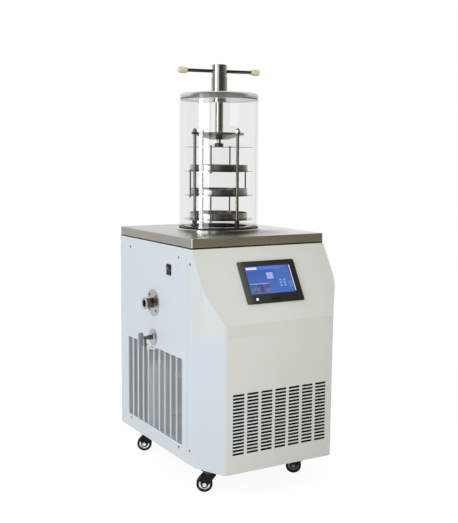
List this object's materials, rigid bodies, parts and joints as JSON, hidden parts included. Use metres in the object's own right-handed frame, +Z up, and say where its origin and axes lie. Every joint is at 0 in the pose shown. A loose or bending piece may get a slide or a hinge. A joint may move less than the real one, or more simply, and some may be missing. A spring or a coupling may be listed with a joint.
{
  "type": "freeze dryer",
  "caption": "Floor-standing stoppering freeze dryer: sheet-metal cabinet on castors with touch panel and vents, clear chamber with hand-turned press, hanging shelves and trays.",
  "frame": {"origin": "centre of the footprint on the floor, side lever and front cover included", "axes": "+X to the right seen from the front, +Y to the back, +Z up"},
  "size_m": [0.5392, 0.658, 1.3434],
  "materials": {
    "white_paint": "satin",
    "cover_paint": "satin",
    "frame_paint": "satin",
    "stainless": "satin",
    "polished_steel": "polished",
    "dark_steel": "satin",
    "clear_acrylic": "polished",
    "lid_acrylic": "polished",
    "black_rubber": "matte",
    "housing_plastic": "matte",
    "screen_glass": "gloss",
    "black_plastic": "satin",
    "lever_plastic": "satin",
    "cream_plastic": "gloss",
    "copper": "satin",
    "foam": "matte",
    "black_enamel": "gloss",
    "aluminium": "satin",
    "grey_paint": "gloss",
    "wheel_tread": "satin"
  },
  "bodies": {
    "cabinet": {"welded_frame": "frame_paint", "left_side_panel": "white_paint", "right_side_panel": "white_paint", "back_panel": "white_paint", "front_cover": "cover_paint", "top_plate": "stainless", "panel_screws": "polished_steel", "touch_panel_housing": "housing_plastic", "touch_screen": "screen_glass", "switch_housing": "black_plastic", "power_inlet": "black_plastic", "vacuum_port": "polished_steel", "drain_flange": "stainless", "drain_valve": "dark_steel", "cold_trap_vessel": "stainless", "evaporator_coil": "copper", "trap_insulation": "foam", "compressor": "black_enamel", "compressor_mounts": "black_rubber", "condenser": "aluminium", "fan_shroud": "black_enamel", "fan_motor": "black_enamel", "liquid_receiver": "grey_paint", "refrigerant_pipes": "copper", "control_box": "grey_paint", "chamber_gasket": "black_rubber", "chamber_cylinder": "clear_acrylic", "chamber_lid": "lid_acrylic", "press_sleeve": "polished_steel", "bridge_plate": "stainless", "guide_rods": "polished_steel", "rod_nuts": "polished_steel", "rack_base": "stainless", "shelf_4": "stainless", "tray_3": "stainless", "castor_plates": "black_enamel"},
    "handle": {"handle_hub": "polished_steel", "handle_bar": "dark_steel", "handle_caps": "cream_plastic"},
    "press": {"press_rod": "polished_steel", "press_foot": "black_plastic", "shelf_1": "stainless", "hangers_1": "polished_steel"},
    "upper_shelf": {"shelf_2": "stainless", "tray_1": "stainless", "hangers_2": "polished_steel"},
    "middle_shelf": {"shelf_3": "stainless", "tray_2": "stainless", "hangers_3": "polished_steel"},
    "rocker": {"switch_rocker": "black_plastic"},
    "drain_handle": {"drain_lever": "lever_plastic"},
    "fan": {"fan_blades": "aluminium"},
    "castor_front_left": {"castor_fork_front_left": "black_enamel"},
    "wheel_front_left": {"castor_wheel_front_left": "wheel_tread"},
    "castor_front_right": {"castor_fork_front_right": "black_enamel"},
    "wheel_front_right": {"castor_wheel_front_right": "wheel_tread"},
    "castor_rear_left": {"castor_fork_rear_left": "black_enamel"},
    "wheel_rear_left": {"castor_wheel_rear_left": "wheel_tread"},
    "castor_rear_right": {"castor_fork_rear_right": "black_enamel"},
    "wheel_rear_right": {"castor_wheel_rear_right": "wheel_tread"}
  },
  "joints": [
    {"name": "handle_turn", "type": "hinge", "parent": "cabinet", "child": "handle", "pos_m": [0.026, 0.0625, 1.3224], "axis": [0, 0, -1], "range_deg": [0, 1800]},
    {"name": "press_stroke", "type": "slide", "parent": "cabinet", "child": "press", "axis": [0, 0, -1], "range_m": [0, 0.03]},
    {"name": "upper_shelf_stroke", "type": "slide", "parent": "cabinet", "child": "upper_shelf", "axis": [0, 0, -1], "range_m": [0, 0.02]},
    {"name": "middle_shelf_stroke", "type": "slide", "parent": "cabinet", "child": "middle_shelf", "axis": [0, 0, -1], "range_m": [0, 0.01]},
    {"name": "switch_press", "type": "hinge", "parent": "cabinet", "child": "rocker", "pos_m": [-0.214, -0.0505, 0.689], "axis": [0, 1, 0], "range_deg": [0, 16]},
    {"name": "drain_turn", "type": "hinge", "parent": "cabinet", "child": "drain_handle", "pos_m": [-0.2425, 0.0655, 0.452], "axis": [1, 0, 0], "range_deg": [0, 90]},
    {"name": "fan_spin", "type": "hinge", "parent": "cabinet", "child": "fan", "pos_m": [0.026, -0.2352, 0.223], "axis": [0, 1, 0], "continuous": true},
    {"name": "swivel_front_left", "type": "hinge", "parent": "cabinet", "child": "castor_front_left", "pos_m": [-0.143, -0.1945, 0.06], "axis": [0, 0, 1], "continuous": true},
    {"name": "roll_front_left", "type": "hinge", "parent": "castor_front_left", "child": "wheel_front_left", "pos_m": [-0.16049, -0.1848, 0.0255], "axis": [-0.4848, -0.8746, 0], "continuous": true},
    {"name": "swivel_front_right", "type": "hinge", "parent": "cabinet", "child": "castor_front_right", "pos_m": [0.195, -0.1945, 0.06], "axis": [0, 0, 1], "continuous": true},
    {"name": "roll_front_right", "type": "hinge", "parent": "castor_front_right", "child": "wheel_front_right", "pos_m": [0.17842, -0.18332, 0.0255], "axis": [-0.5592, -0.829, 0], "continuous": true},
    {"name": "swivel_rear_left", "type": "hinge", "parent": "cabinet", "child": "castor_rear_left", "pos_m": [-0.143, 0.2475, 0.06], "axis": [0, 0, 1], "continuous": true},
    {"name": "roll_rear_left", "type": "hinge", "parent": "castor_rear_left", "child": "wheel_rear_left", "pos_m": [-0.16014, 0.2578, 0.0255], "axis": [-0.515, -0.8572, 0], "continuous": true},
    {"name": "swivel_rear_right", "type": "hinge", "parent": "cabinet", "child": "castor_rear_right", "pos_m": [0.195, 0.2475, 0.06], "axis": [0, 0, 1], "continuous": true},
    {"name": "roll_rear_right", "type": "hinge", "parent": "castor_rear_right", "child": "wheel_rear_right", "pos_m": [0.17673, 0.25563, 0.0255], "axis": [-0.4067, -0.9135, 0], "continuous": true}
  ],
  "couplings": [
    {"joint": "press_stroke", "follows": "handle_turn", "m_per_rad": 0.00095492},
    {"joint": "upper_shelf_stroke", "follows": "handle_turn", "m_per_rad": 0.00063661},
    {"joint": "middle_shelf_stroke", "follows": "handle_turn", "m_per_rad": 0.00031831}
  ]
}
